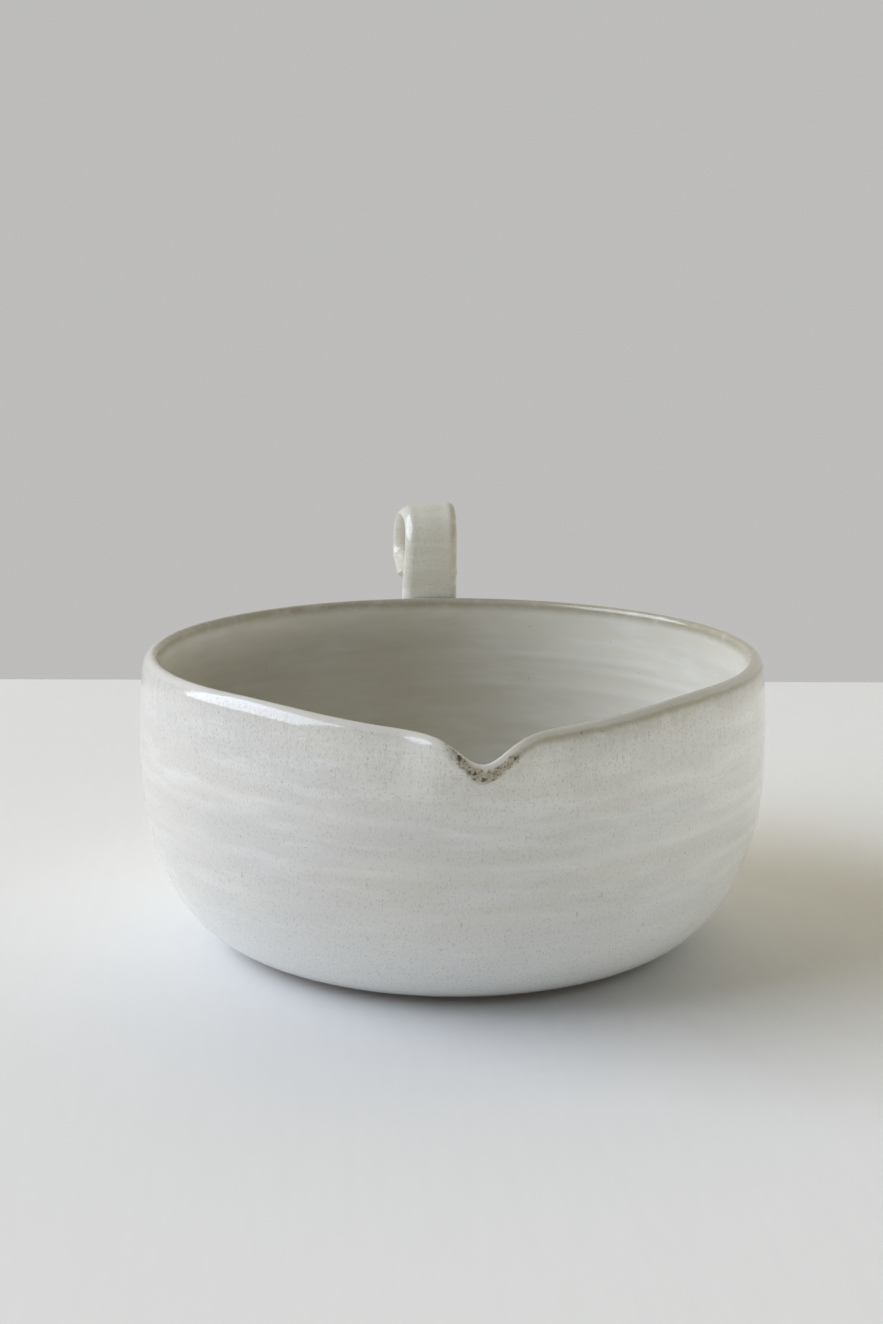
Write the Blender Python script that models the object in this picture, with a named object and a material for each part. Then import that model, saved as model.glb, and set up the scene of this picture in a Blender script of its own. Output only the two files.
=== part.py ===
"""Wheel-thrown stoneware serving bowl with a pulled pouring lip and a curled strap handle.

Metres, +Z up. The origin is the centre of the base on the table. The lip points along -Y
and the handle stands on the wall at +Y. The clay pieces are joined as the potter joins them:
the thrown bowl, the pulled strap pressed on its wall, and the two coils that lute the strap.
"""

import math

import bmesh
import bpy
from mathutils import Vector

# Thrown bowl
BELLY_RADIUS = 0.100  # outside of the wall where it is widest
BELLY_HEIGHT = 0.065  # height of that widest ring
BASE_RADIUS = 0.0585  # flat base that stands on the table
BASE_BEVEL = 0.0007  # trimmed edge between the base and the belly curve
RIM_HEIGHT = 0.0932  # crest of the rim, away from the lip
RIM_RADIUS = 0.0985  # outside of the wall just under the rim
RIM_THICKNESS = 0.0040
WALL = 0.0045  # wall thickness at the belly
FLOOR = 0.0065  # floor thickness
FLOOR_RADIUS = 0.0565  # flat middle of the floor inside
FULLNESS = 2.35  # squareness of the belly curve, where 2 is an ellipse

# Pulled pouring lip
LIP_HALF_WIDTH = 0.0215  # from the middle of the lip to the end of its shoulder, along the rim
LIP_TAPER = 2.6  # power that draws in the bell of the lip and softens its shoulders
LIP_LENGTH = 0.016  # height of wall that is bent over
LIP_BEND = math.radians(58)  # how far the wall leans out at the tip
LIP_DROP = 0.0050  # further drop of the rim in the lip
LIP_ROOT = 0.045  # height on the wall where the drop begins
SWEEP_HALF_WIDTH = 0.078  # rim that is drawn along with the lip, on each side
SWEEP_DROP = 0.0048
SWEEP_REACH = 0.0040
SWEEP_ROOT = 0.030

# Strap handle, pulled from one strip of clay
STRAP_WIDTH = 0.0198  # at the wall
STRAP_TIP_WIDTH = 0.0214
STRAP_THICKNESS = 0.0060  # at the wall
STRAP_TIP_THICKNESS = 0.0050
STRAP_EDGE = 3.0  # squareness of the strap's section, where 2 is an ellipse
ROOT_HEIGHT = 0.050  # lower end of the strap on the wall
ROOT_TONGUE = 0.011  # length of the rounded, thinned end
TONGUE_END = 0.02  # share of the tongue's length that is left blunt
TONGUE_THIN = 0.4  # thickness at the very end as a share of the full thickness
LOOP_SPRING = 0.0190  # height above the rim where the stem starts to curl
LOOP_CROWN = 0.0303  # height above the rim of the top of the curl
LOOP_CROWN_REACH = 0.0110  # from the stem out to that top
LOOP_REACH = 0.0360  # from the stem out to the back of the curl
LOOP_HEEL = 0.0125  # height above the rim of the strap as it leaves the heel
LOOP_HEEL_RADIUS = 0.0055  # bend where the strap turns back to the stem
LOOP_TAIL = 0.0105  # height above the rim where the tail meets the stem

# Luting coils and seats
COIL_RADIUS = 0.0014
COIL_TOP_GAP = 0.012  # from the crest of the rim down to the ends of the root coil
TIP_COIL_SHARE = 0.80  # length of the tip coil as a share of the strap's tip width
SEAT_GAP = 0.0003  # between pieces that touch

# Glaze over bowl, handle and coils
GLAZE_COLOUR = (0.60, 0.58, 0.52)
GLAZE_ROUGHNESS = 0.22

# Fineness of the solids
BELLY_STEPS = 10
UPPER_STEPS = 7
RIM_STEPS = 6
LIP_STEPS = 30
SWEEP_STEPS = 9
ROUND_STEPS = 46
ROOT_STEPS = 12
STEM_STEPS = 5
CURL_STEPS = 7
TAIL_STEPS = 4
STRAP_SIDES = 16
COIL_SIDES = 8
COIL_SIDE_STEPS = 6
COIL_TURN_STEPS = 14
WELD = 1e-6  # points closer than this are one point
SHARP_ANGLE = math.radians(40)  # edges sharper than this stay crisp

RIM_EDGE_HEIGHT = RIM_HEIGHT - RIM_THICKNESS / 2
CREST_RADIUS = RIM_RADIUS - RIM_THICKNESS / 2


def superellipse(share, exponent):
    """The second coordinate of a unit superellipse whose first is share."""
    return (1 - min(abs(share), 1) ** exponent) ** (1 / exponent)


def ramp(value, start, end):
    """0 up to start, 1 from end on, and a smooth step between them."""
    share = min(max((value - start) / (end - start), 0), 1)
    return share * share * (3 - 2 * share)


def bell(distance, half_width):
    """1 in the middle and 0 from half_width on, as a raised cosine."""
    return 0.5 + 0.5 * math.cos(math.pi * min(abs(distance) / half_width, 1))


def wall_radius(height, belly_radius, rim_radius, foot_radius, foot_height):
    """Radius of one side of the wall: a superellipse up to the belly, then a slight lean in to the rim."""
    if height < BELLY_HEIGHT:
        share = (BELLY_HEIGHT - height) / (BELLY_HEIGHT - foot_height)
        return foot_radius + (belly_radius - foot_radius) * superellipse(share, FULLNESS)
    share = min((height - BELLY_HEIGHT) / (RIM_EDGE_HEIGHT - BELLY_HEIGHT), 1)
    return belly_radius + (rim_radius - belly_radius) * share**2


def outer_radius(height):
    return wall_radius(height, BELLY_RADIUS, RIM_RADIUS, BASE_RADIUS + BASE_BEVEL, BASE_BEVEL)


def inner_radius(height):
    return wall_radius(height, BELLY_RADIUS - WALL, RIM_RADIUS - RIM_THICKNESS, FLOOR_RADIUS, FLOOR)


def belly_curve(belly_radius, foot_radius, foot_height):
    """Points of one belly curve, from the foot up to just under the belly, spaced by angle."""
    points = []
    for step in range(BELLY_STEPS):
        angle = math.pi / 2 * (1 - step / BELLY_STEPS)
        across = math.cos(angle) ** (2 / FULLNESS)
        down = math.sin(angle) ** (2 / FULLNESS)
        radius = foot_radius + (belly_radius - foot_radius) * across
        points.append((radius, BELLY_HEIGHT - (BELLY_HEIGHT - foot_height) * down))
    return points


def upper_heights():
    """Heights from the belly to the rim's edge, closer together towards the rim."""
    span = RIM_EDGE_HEIGHT - BELLY_HEIGHT
    return [BELLY_HEIGHT + span * math.sin(math.pi / 2 * i / UPPER_STEPS) for i in range(UPPER_STEPS + 1)]


def bowl_profile():
    """The bowl's section, from the middle of its base up the outside, over the rim and down to the floor."""
    outside = belly_curve(BELLY_RADIUS, BASE_RADIUS + BASE_BEVEL, BASE_BEVEL)
    outside += [(outer_radius(height), height) for height in upper_heights()]
    rim = []
    for step in range(1, RIM_STEPS):
        angle = math.pi * step / RIM_STEPS
        radius = CREST_RADIUS + RIM_THICKNESS / 2 * math.cos(angle)
        rim.append((radius, RIM_EDGE_HEIGHT + RIM_THICKNESS / 2 * math.sin(angle)))
    inside = belly_curve(BELLY_RADIUS - WALL, FLOOR_RADIUS, FLOOR)
    inside += [(inner_radius(height), height) for height in upper_heights()]
    return [(0, 0), (BASE_RADIUS, 0)] + outside + rim + inside[::-1] + [(0, FLOOR)]


def lip_share(along_rim):
    """How much of the lip's full pull a place along the rim takes."""
    return bell(along_rim, LIP_HALF_WIDTH) ** LIP_TAPER


def pull_lip(point):
    """Where a point of the thrown wall ends up once the lip has been pulled at the front, on -Y."""
    radius = math.hypot(point.x, point.y)
    if radius == 0:
        return point
    angle = math.atan2(point.x, -point.y)
    height = point.z
    along_rim = angle * CREST_RADIUS

    swept = bell(along_rim, SWEEP_HALF_WIDTH) * ramp(height, SWEEP_ROOT, RIM_HEIGHT)
    dropped = lip_share(along_rim) * ramp(height, LIP_ROOT, RIM_HEIGHT)
    middle = (outer_radius(height) + inner_radius(height)) / 2 if height > FLOOR else 0
    from_middle = radius - middle

    up_lip = min(max((height - RIM_HEIGHT + LIP_LENGTH) / LIP_LENGTH, 0), 1)
    bend = LIP_BEND * lip_share(along_rim)
    turned = bend * up_lip
    if turned > 0:
        middle += LIP_LENGTH * (1 - math.cos(turned)) / bend
        height += LIP_LENGTH * (math.sin(turned) / bend - up_lip)
    radius = middle + from_middle * math.cos(turned) + SWEEP_REACH * swept
    height += -from_middle * math.sin(turned) - SWEEP_DROP * swept - LIP_DROP * dropped
    return Vector((radius * math.sin(angle), -radius * math.cos(angle), height))


def glaze(name):
    material = bpy.data.materials.new(name)
    material.use_nodes = True
    shader = material.node_tree.nodes["Principled BSDF"]
    shader.inputs["Base Color"].default_value = (*GLAZE_COLOUR, 1)
    shader.inputs["Roughness"].default_value = GLAZE_ROUGHNESS
    shader.inputs["Metallic"].default_value = 0
    return material


def add_object(name, work):
    """One smooth-shaded object from a bmesh, with its own coat of the glaze."""
    bmesh.ops.recalc_face_normals(work, faces=work.faces)
    mesh = bpy.data.meshes.new(name)
    work.to_mesh(mesh)
    work.free()
    mesh.shade_smooth()
    mesh.set_sharp_from_angle(angle=SHARP_ANGLE)
    mesh.materials.append(glaze(f"{name}_glaze"))
    made = bpy.data.objects.new(name, mesh)
    bpy.context.scene.collection.objects.link(made)
    return made


def thrown_bowl():
    """The profile spun round in sectors, finest across the lip, and the lip then pulled."""
    work = bmesh.new()
    lip_angle = LIP_HALF_WIDTH / CREST_RADIUS
    sweep_angle = SWEEP_HALF_WIDTH / CREST_RADIUS
    rows = [work.verts.new((radius * math.sin(-lip_angle), -radius * math.cos(lip_angle), height))
            for radius, height in bowl_profile()]
    edge = [work.edges.new(pair) for pair in zip(rows, rows[1:])]
    sectors = (
        (2 * lip_angle, LIP_STEPS),
        (sweep_angle - lip_angle, SWEEP_STEPS),
        (2 * math.pi - 2 * sweep_angle, ROUND_STEPS),
        (sweep_angle - lip_angle, SWEEP_STEPS),
    )
    for turn, steps in sectors:
        spun = bmesh.ops.spin(work, geom=edge, cent=(0, 0, 0), axis=(0, 0, 1), angle=turn, steps=steps)
        edge = [item for item in spun["geom_last"] if isinstance(item, bmesh.types.BMEdge)]
    bmesh.ops.remove_doubles(work, verts=work.verts, dist=WELD)
    for vert in work.verts:
        vert.co = pull_lip(vert.co)
    return add_object("thrown_bowl", work)


def wall_lean(height):
    """How much the outside of the wall moves out for each unit up."""
    return (outer_radius(height + WALL) - outer_radius(height - WALL)) / (2 * WALL)


def bezier(start, start_slope, end, end_slope, shares):
    """Points of a cubic curve between two (radius, height) places, at these shares of its way."""
    third = (end[1] - start[1]) / 3
    control = (start, (start[0] + start_slope * third, start[1] + third),
               (end[0] - end_slope * third, end[1] - third), end)
    points = []
    for share in shares:
        weights = ((1 - share) ** 3, 3 * share * (1 - share) ** 2, 3 * share**2 * (1 - share), share**3)
        points.append(tuple(sum(w * p[axis] for w, p in zip(weights, control)) for axis in (0, 1)))
    return points


def quarter(centre, half_width, half_height, from_angle, steps):
    """Points of a quarter ellipse that runs clockwise from from_angle, leaving out the last one."""
    points = []
    for step in range(steps):
        angle = from_angle - math.pi / 2 * step / steps
        points.append((centre[0] + half_width * math.cos(angle), centre[1] + half_height * math.sin(angle)))
    return points


def stem_radius():
    """Distance from the bowl's axis to the middle of the stem above the rim."""
    return RIM_RADIUS + SEAT_GAP + STRAP_THICKNESS / 2


def stem_line(heights):
    """The stem's middle as (radius, height) at these heights, from the rim's edge up to the curl."""
    rim = (outer_radius(RIM_EDGE_HEIGHT) + SEAT_GAP + STRAP_THICKNESS / 2, RIM_EDGE_HEIGHT)
    spring = (stem_radius(), RIM_HEIGHT + LOOP_SPRING)
    shares = [(height - rim[1]) / (spring[1] - rim[1]) for height in heights]
    return bezier(rim, wall_lean(RIM_EDGE_HEIGHT), spring, 0, shares)


def behind_stem(low, high):
    """The radius that clears the stem's back by the seat gap at every height from low to high."""
    heights = [low + (high - low) * i / STEM_STEPS for i in range(STEM_STEPS + 1)]
    middle = max(radius for radius, height in stem_line(heights))
    return middle + STRAP_THICKNESS / 2 * math.hypot(1, wall_lean(RIM_EDGE_HEIGHT)) + SEAT_GAP


def strap_line():
    """The strap's middle as (radius, height), from its root up the wall and round the curl to its tip."""
    root = (outer_radius(ROOT_HEIGHT) + SEAT_GAP + STRAP_THICKNESS / 2, ROOT_HEIGHT)
    spring = (stem_radius(), RIM_HEIGHT + LOOP_SPRING)
    rim = stem_line([RIM_EDGE_HEIGHT])[0]
    heel_height = RIM_HEIGHT + LOOP_HEEL + LOOP_HEEL_RADIUS
    crown = LOOP_CROWN - LOOP_SPRING
    back_fall = RIM_HEIGHT + LOOP_CROWN - heel_height
    tail_start = stem_radius() + LOOP_REACH - LOOP_HEEL_RADIUS
    tail_height = RIM_HEIGHT + LOOP_TAIL
    tail_end = behind_stem(tail_height - STRAP_TIP_THICKNESS / 2, tail_height + STRAP_TIP_THICKNESS / 2)

    from_tongue = [1 - math.cos(math.pi / 2 * i / ROOT_STEPS) for i in range(ROOT_STEPS)]
    stem_heights = [rim[1] + (spring[1] - rim[1]) * i / STEM_STEPS for i in range(STEM_STEPS)]
    line = bezier(root, wall_lean(ROOT_HEIGHT), rim, wall_lean(RIM_EDGE_HEIGHT), from_tongue)
    line += stem_line(stem_heights)
    line += quarter((spring[0] + LOOP_CROWN_REACH, spring[1]), LOOP_CROWN_REACH, crown, math.pi, CURL_STEPS)
    line += quarter((spring[0] + LOOP_CROWN_REACH, heel_height), LOOP_REACH - LOOP_CROWN_REACH, back_fall,
                    math.pi / 2, CURL_STEPS)
    line += quarter((tail_start, heel_height), LOOP_HEEL_RADIUS, LOOP_HEEL_RADIUS, 0, CURL_STEPS)
    for step in range(TAIL_STEPS + 1):
        share = step / TAIL_STEPS
        fall = (LOOP_HEEL - LOOP_TAIL) * ramp(share, 0, 1)
        line.append((tail_start + (tail_end - tail_start) * share, RIM_HEIGHT + LOOP_HEEL - fall))
    return line


def pressed_on_wall(point):
    """Soft clay that would sink into the wall is pressed out to its seat."""
    radius = math.hypot(point.x, point.y)
    seat = outer_radius(point.z) + SEAT_GAP
    if point.z > RIM_HEIGHT or radius >= seat:
        return point
    return Vector((point.x * seat / radius, point.y * seat / radius, point.z))


def loft(rings):
    """A closed tube through rings of points, capped at both ends."""
    work = bmesh.new()
    loops = [[work.verts.new(point) for point in ring] for ring in rings]
    for near, far in zip(loops, loops[1:]):
        for side in range(len(near)):
            following = (side + 1) % len(near)
            work.faces.new((near[side], near[following], far[following], far[side]))
    work.faces.new(loops[0])
    work.faces.new(loops[-1])
    return work


def directions(line):
    """Unit directions along a line of points."""
    found = []
    for index in range(len(line)):
        before = Vector(line[max(index - 1, 0)])
        after = Vector(line[min(index + 1, len(line) - 1)])
        found.append((after - before).normalized())
    return found


def strap_sizes(along, tongue_share):
    """Half width and half thickness of the strap, tapering to its tip and rounded off at its root."""
    width = STRAP_WIDTH + (STRAP_TIP_WIDTH - STRAP_WIDTH) * along
    thickness = STRAP_THICKNESS + (STRAP_TIP_THICKNESS - STRAP_THICKNESS) * along
    rounded = superellipse(1 - tongue_share, 2)
    return width / 2 * rounded, thickness / 2 * (TONGUE_THIN + (1 - TONGUE_THIN) * rounded)


def strap_handle():
    """The oval strap lofted along its line, with its root pressed on the wall."""
    line = strap_line()
    rings = []
    for index, (place, direction) in enumerate(zip(line, directions(line))):
        tongue_share = min((place[1] - ROOT_HEIGHT) / ROOT_TONGUE + TONGUE_END, 1)
        half_width, half_thickness = strap_sizes(index / (len(line) - 1), tongue_share)
        ring = []
        for side in range(STRAP_SIDES):
            angle = 2 * math.pi * side / STRAP_SIDES
            across = math.copysign(abs(math.cos(angle)) ** (2 / STRAP_EDGE), math.cos(angle)) * half_width
            out = math.copysign(abs(math.sin(angle)) ** (2 / STRAP_EDGE), math.sin(angle)) * half_thickness
            point = Vector((across, place[0] + direction[1] * out, place[1] - direction[0] * out))
            ring.append(pressed_on_wall(point))
        rings.append(ring)
    return add_object("strap_handle", loft(rings))


def tube(line, radius):
    """A round roll of clay along a line of points."""
    rings = []
    for place, direction in zip(line, directions(line)):
        side = direction.cross(Vector((0, 1, 0))).normalized()
        out = side.cross(direction)
        ring = []
        for index in range(COIL_SIDES):
            angle = 2 * math.pi * index / COIL_SIDES
            ring.append(Vector(place) + radius * (side * math.cos(angle) + out * math.sin(angle)))
        rings.append(ring)
    return loft(rings)


def root_luting_coil():
    """The roll of clay worked in round the root, down one side, under the tongue and up the other."""
    half_width = STRAP_WIDTH / 2 + SEAT_GAP + COIL_RADIUS
    top = RIM_HEIGHT - COIL_TOP_GAP
    corner = ROOT_HEIGHT + ROOT_TONGUE
    drop = ROOT_TONGUE + SEAT_GAP + COIL_RADIUS
    side = [(half_width, top + (corner - top) * i / COIL_SIDE_STEPS) for i in range(COIL_SIDE_STEPS)]
    turns = [math.pi * i / COIL_TURN_STEPS for i in range(COIL_TURN_STEPS + 1)]
    under = [(half_width * math.cos(turn), corner - drop * math.sin(turn)) for turn in turns]
    outline = side + under + [(-across, height) for across, height in reversed(side)]
    line = []
    for across, height in outline:
        radius = outer_radius(height) + SEAT_GAP + COIL_RADIUS
        line.append(Vector((across, math.sqrt(radius**2 - across**2), height)))
    return add_object("root_luting_coil", tube(line, COIL_RADIUS))


def tip_luting_coil():
    """The short roll under the tail, in the corner that it makes with the stem."""
    half_length = TIP_COIL_SHARE * STRAP_TIP_WIDTH / 2
    height = RIM_HEIGHT + LOOP_TAIL - STRAP_TIP_THICKNESS / 2 - SEAT_GAP - COIL_RADIUS
    out = behind_stem(height - COIL_RADIUS, height + COIL_RADIUS) + COIL_RADIUS
    line = [Vector((half_length * end, out, height)) for end in (-1, 1)]
    return add_object("tip_luting_coil", tube(line, COIL_RADIUS))


for old in list(bpy.data.objects):
    bpy.data.objects.remove(old)
thrown_bowl()
strap_handle()
root_luting_coil()
tip_luting_coil()
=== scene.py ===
"""A wheel-thrown stoneware pouring bowl with a curled strap handle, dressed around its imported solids.

Metres, +Z up. The centre of the base is the origin, the lip points along -Y and the handle stands at +Y.
"""

import math

import bmesh
import bpy
from mathutils import Matrix, Vector


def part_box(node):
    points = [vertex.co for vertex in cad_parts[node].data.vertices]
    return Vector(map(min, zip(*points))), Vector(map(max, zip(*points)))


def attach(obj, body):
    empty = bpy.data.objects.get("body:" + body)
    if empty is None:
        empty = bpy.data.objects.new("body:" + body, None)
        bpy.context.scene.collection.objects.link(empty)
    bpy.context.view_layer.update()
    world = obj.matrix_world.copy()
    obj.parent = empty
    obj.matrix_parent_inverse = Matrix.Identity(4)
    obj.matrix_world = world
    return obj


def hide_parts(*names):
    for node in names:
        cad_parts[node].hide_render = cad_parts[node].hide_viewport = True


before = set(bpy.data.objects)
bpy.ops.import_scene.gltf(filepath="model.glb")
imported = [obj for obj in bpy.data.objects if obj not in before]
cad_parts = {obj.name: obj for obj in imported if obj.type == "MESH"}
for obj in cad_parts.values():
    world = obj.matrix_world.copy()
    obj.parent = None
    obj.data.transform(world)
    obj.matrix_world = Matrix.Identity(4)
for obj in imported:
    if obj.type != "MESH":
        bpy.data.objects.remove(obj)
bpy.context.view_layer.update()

# Camera. It looks down on the lip from arm's length, with the bowl turned a little so that the
# lip points to its right and the back of the curl shows on the left of the stem.
BOWL_TURN = math.radians(4.7)
EYE = Vector((-0.003675, -0.5911, 0.2068))
LOOK_DOWN = math.radians(11.351)
TILT = math.radians(0.211)
LENS = 50.95
NEAREST_SEEN = 0.01

turn_back = Matrix.Rotation(-BOWL_TURN, 4, "Z")
camera = bpy.data.objects.new("camera", bpy.data.cameras.new("camera"))
camera.data.lens = LENS
camera.data.clip_start = NEAREST_SEEN
look = Matrix.Rotation(math.pi / 2 - LOOK_DOWN, 4, "X") @ Matrix.Rotation(TILT, 4, "Z")
camera.matrix_world = turn_back @ Matrix.Translation(EYE) @ look
bpy.context.scene.collection.objects.link(camera)
bpy.context.scene.camera = camera
bpy.context.scene.view_settings.view_transform = "Standard"

# Thrown bowl. One lump of stoneware is opened and pulled up on the wheel, its lip is drawn out
# with a wet finger, and its base is trimmed flat and left bare. Finger rings stay in the wall.
bowl_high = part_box("thrown_bowl")[1]  # the highest corner of its box
BELLY_RADIUS = bowl_high.y
RIM_HEIGHT = bowl_high.z
BELLY_HEIGHT = 0.065
BASE_RADIUS = 0.0585
BASE_BEVEL = 0.0007
FOOT_WIPED = 0.0022  # height up to which the glaze is wiped off the foot
RIM_RADIUS = 0.0985
RIM_THICKNESS = 0.0047
WALL = 0.0045
FLOOR = 0.0065
FLOOR_RADIUS = 0.0565
FULLNESS = 2.35
LIP_HALF_WIDTH = 0.0215
LIP_TAPER = 2.6  # power that draws the bell of the lip in and softens its shoulders
LIP_ASIDE = -0.0011  # the pulling finger went down a little to the left of the middle
LIP_LENGTH = 0.016
LIP_BEND = math.radians(58)
LIP_DROP = 0.0057
LIP_ROOT = 0.045  # height from which the wall under the lip starts to drop
CHEEK_HALF_WIDTH = 0.0245  # the pull swells the wall on both sides of the lip
CHEEK_TAPER = 1.2
CHEEK_REACH = 0.0085
CHEEK_ROOT = 0.060
SWEEP_HALF_WIDTH = 0.078  # the rim dips and leans out slowly towards the lip
SWEEP_DROP = 0.0048
SWEEP_REACH = 0.0040
SWEEP_ROOT = 0.030
RIM_EDGE_BELOW = 0.0020  # from the crest down to where the wall has leaned in to the rim
RIM_EDGE_HEIGHT = RIM_HEIGHT - RIM_EDGE_BELOW
RIM_MIDDLE_IN = 0.0020
RIM_MIDDLE = RIM_RADIUS - RIM_MIDDLE_IN  # radius at which lengths along the rim are measured
CREST_IN = 0.0030
CREST_RADIUS = RIM_RADIUS - CREST_IN
RIM_SHOULDER = 0.0052  # height over which the outside rounds in to the crest
RIM_INSIDE = 0.0018  # height over which the inside does
LIP_BEAD = 0.0009  # thickness that the rolled edge of the lip adds on its outside
LIP_BEAD_BELOW = 0.0031  # from the crest down to the middle of that edge
LIP_BEAD_HALF_HEIGHT = 0.0032

# Ridges between the finger grooves, as (height, share of the full ridge), and their run round the wall
OUTSIDE_RINGS = ((0.0715, 0.4), (0.0640, 0.7), (0.0590, 0.5), (0.0535, 1.0),
                 (0.0485, 0.6), (0.0425, 0.8), (0.0360, 0.4))
INSIDE_RINGS = ((0.0800, 0.3), (0.0738, 0.6), (0.0690, 0.9), (0.0650, 0.4),
                (0.0615, 0.8), (0.0565, 0.7), (0.0490, 0.5), (0.0400, 0.5))
OUTSIDE_RING = 0.00030
INSIDE_RING = 0.00028
OUTSIDE_RING_HALF_HEIGHT = 0.0028
INSIDE_RING_HALF_HEIGHT = 0.0024
RING_WANDER = 0.0012
RING_WANDER_TURN = 1.7  # from one ring to the next, in radians
RING_PRESSURE = (0.55, 0.45)  # mean of the ridge's height round the wall, and how much it changes
RING_PRESSURE_WAVES = 2  # times that it changes in one turn
RING_PRESSURE_TURN = 2.3
BASE_RING_PITCH = 0.0032
BASE_RING = 0.00012

# Fineness of the bowl's mesh
BELLY_STEPS = 96
UPPER_STEPS = 40
RIM_STEPS = 18
FLAT_STEPS = 16
LIP_STEPS = 60
SWEEP_STEPS = 32
ROUND_STEPS = 150


def superellipse(share, exponent):
    """The second coordinate of a unit superellipse whose first is share."""
    return (1 - min(abs(share), 1) ** exponent) ** (1 / exponent)


def ramp(value, start, end):
    """0 up to start, 1 from end on, and a smooth step between them."""
    share = min(max((value - start) / (end - start), 0), 1)
    return share * share * (3 - 2 * share)


def bell(distance, half_width):
    """1 in the middle and 0 from half_width on, as a raised cosine."""
    return 0.5 + 0.5 * math.cos(math.pi * min(abs(distance) / half_width, 1))


def wall_radius(height, belly_radius, rim_radius, foot_radius, foot_height):
    """Radius of one side of the wall: a superellipse up to the belly, then a slight lean in to the rim."""
    if height < BELLY_HEIGHT:
        share = (BELLY_HEIGHT - height) / (BELLY_HEIGHT - foot_height)
        return foot_radius + (belly_radius - foot_radius) * superellipse(share, FULLNESS)
    share = min((height - BELLY_HEIGHT) / (RIM_EDGE_HEIGHT - BELLY_HEIGHT), 1)
    return belly_radius + (rim_radius - belly_radius) * share**2


def outer_radius(height):
    return wall_radius(height, BELLY_RADIUS, RIM_RADIUS, BASE_RADIUS + BASE_BEVEL, BASE_BEVEL)


def inner_radius(height):
    return wall_radius(height, BELLY_RADIUS - WALL, RIM_RADIUS - RIM_THICKNESS, FLOOR_RADIUS, FLOOR)


def belly_curve(belly_radius, foot_radius, foot_height):
    """Points of one belly curve, from the foot up to just under the belly, spaced by angle."""
    points = []
    for step in range(BELLY_STEPS):
        angle = math.pi / 2 * (1 - step / BELLY_STEPS)
        across = math.cos(angle) ** (2 / FULLNESS)
        down = math.sin(angle) ** (2 / FULLNESS)
        radius = foot_radius + (belly_radius - foot_radius) * across
        points.append((radius, BELLY_HEIGHT - (BELLY_HEIGHT - foot_height) * down))
    return points


def upper_wall(side_radius, edge_height):
    """Points of one side of the wall, from the belly to the rim's edge and on to just under its crest."""
    points = []
    for step in range(UPPER_STEPS + 1):
        height = BELLY_HEIGHT + (edge_height - BELLY_HEIGHT) * step / UPPER_STEPS
        points.append((side_radius(height), height))
    edge_radius = side_radius(edge_height)
    for step in range(1, RIM_STEPS):
        angle = math.pi / 2 * step / RIM_STEPS
        radius = CREST_RADIUS + (edge_radius - CREST_RADIUS) * math.cos(angle)
        points.append((radius, edge_height + (RIM_HEIGHT - edge_height) * math.sin(angle)))
    return points


def bowl_profile():
    """The bowl's section, from near the base's middle up the outside, over the rim and in to the floor.

    Each point is (radius, height, side). The side is 1 outside, -1 inside and 0 on the base.
    """
    base = []
    for step in range(1, FLAT_STEPS + 1):
        radius = BASE_RADIUS * step / FLAT_STEPS
        groove = 0.5 - 0.5 * math.cos(2 * math.pi * radius / BASE_RING_PITCH)
        clear_of_edge = 1 - ramp(radius, BASE_RADIUS - BASE_RING_PITCH, BASE_RADIUS)
        base.append((radius, BASE_RING * groove * clear_of_edge, 0))
    outside = belly_curve(BELLY_RADIUS, BASE_RADIUS + BASE_BEVEL, BASE_BEVEL)
    outside += upper_wall(outer_radius, RIM_HEIGHT - RIM_SHOULDER)
    outside.append((CREST_RADIUS, RIM_HEIGHT))
    inside = belly_curve(BELLY_RADIUS - WALL, FLOOR_RADIUS, FLOOR)
    inside += upper_wall(inner_radius, RIM_HEIGHT - RIM_INSIDE)
    floor = [(FLOOR_RADIUS * step / FLAT_STEPS, FLOOR) for step in range(FLAT_STEPS - 1, 0, -1)]
    return base + [(*point, 1) for point in outside] + [(*point, -1) for point in inside[::-1] + floor]


def below_crest(profile):
    """Each profile point's distance from the rim's crest along the profile, below 0 on the inside."""
    walked = [0]
    for before, after in zip(profile, profile[1:]):
        walked.append(walked[-1] + math.dist(before[:2], after[:2]))
    crest = max(range(len(profile)), key=lambda index: profile[index][1])
    return [walked[crest] - length for length in walked]


def finger_ring(height, angle, side):
    """How proud the ridges between the finger grooves are here, where 1 is the full ridge."""
    rings = OUTSIDE_RINGS if side > 0 else INSIDE_RINGS
    half_height = OUTSIDE_RING_HALF_HEIGHT if side > 0 else INSIDE_RING_HALF_HEIGHT
    proud = 0
    for number, (middle, share) in enumerate(rings):
        middle += RING_WANDER * math.sin(angle + RING_WANDER_TURN * number)
        wave = math.sin(RING_PRESSURE_WAVES * angle + RING_PRESSURE_TURN * number)
        pressure = RING_PRESSURE[0] + RING_PRESSURE[1] * wave
        proud += share * pressure * bell(height - middle, half_height)
    return proud


def lip_share(along_rim):
    """How much of the lip's full pull a place along the rim takes."""
    return bell(along_rim - LIP_ASIDE, LIP_HALF_WIDTH) ** LIP_TAPER


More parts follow.
